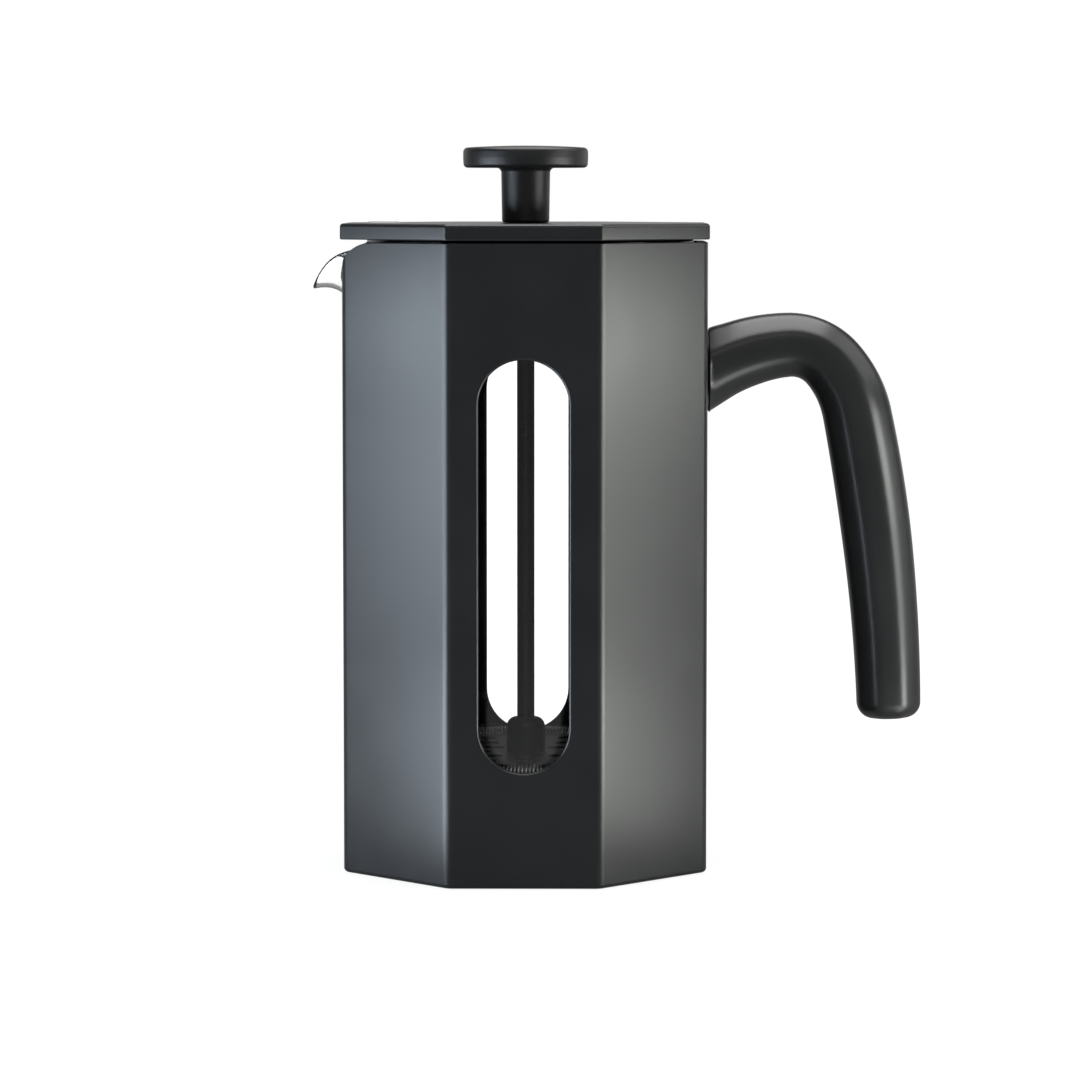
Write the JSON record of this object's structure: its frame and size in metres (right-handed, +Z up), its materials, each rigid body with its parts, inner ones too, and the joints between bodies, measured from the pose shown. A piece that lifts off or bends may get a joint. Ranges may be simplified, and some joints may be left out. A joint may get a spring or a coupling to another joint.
{
  "type": "french press",
  "caption": "French press: beaker in an octagonal windowed plastic sleeve with loop handle, spout, turning lid with strainer collar, and a knobbed plunger with a spring-rimmed mesh filter.",
  "frame": {"origin": "middle of the foot pad's underside, on the beaker's axis, on the surface that the press stands on", "axes": "+Z up along the plunger, +X towards the handle, -X towards the spout, +Y completes the right-handed frame"},
  "size_m": [0.1745, 0.104, 0.2061],
  "materials": {
    "black_plastic": "fine satin moulded texture, near black",
    "knob_plastic": "satin moulded, near black",
    "grey_plastic": "satin, mid grey",
    "glass": "clear borosilicate, polished",
    "silicone": "soft matte silicone",
    "steel": "bright stainless, brushed",
    "spring_steel": "bright drawn wire",
    "black_coated_steel": "smooth black coating",
    "brass": "turned brass"
  },
  "bodies": {
    "frame": {"sleeve": "black_plastic", "base": "black_plastic", "foot_pad": "silicone", "base_cushion": "silicone", "upper_spacer": "silicone", "handle": "black_plastic", "handle_pad": "silicone", "handle_screws": "steel", "handle_inserts": "brass"},
    "beaker": {"beaker": "glass"},
    "lid_seal": {"lid_seal": "silicone"},
    "lid": {"lid_cover": "black_plastic", "strainer_collar": "black_plastic", "pour_mark": "grey_plastic"},
    "rod_bush": {"rod_bush": "knob_plastic"},
    "plunger": {"knob": "knob_plastic", "knob_insert": "brass", "rod": "black_coated_steel", "hub": "knob_plastic", "spring_plate": "steel", "coil_spring": "spring_steel", "filter_mesh": "steel", "cross_plate": "steel", "rod_nut": "steel"}
  },
  "joints": [
    {"name": "beaker_lift", "type": "slide", "parent": "frame", "child": "beaker", "axis": [0, 0, 1], "range_m": [0, 0.185]},
    {"name": "lid_lift", "type": "slide", "parent": "beaker", "child": "lid_seal", "axis": [0, 0, 1], "range_m": [0, 0.165]},
    {"name": "lid_turn", "type": "hinge", "parent": "lid_seal", "child": "lid", "pos_m": [0, 0, 0.18], "axis": [0, 0, 1], "continuous": true},
    {"name": "plunger_turn", "type": "hinge", "parent": "lid", "child": "rod_bush", "pos_m": [0, 0, 0.182], "axis": [0, 0, 1], "continuous": true},
    {"name": "plunger_slide", "type": "slide", "parent": "rod_bush", "child": "plunger", "axis": [0, 0, 1], "range_m": [0, 0.13]}
  ]
}
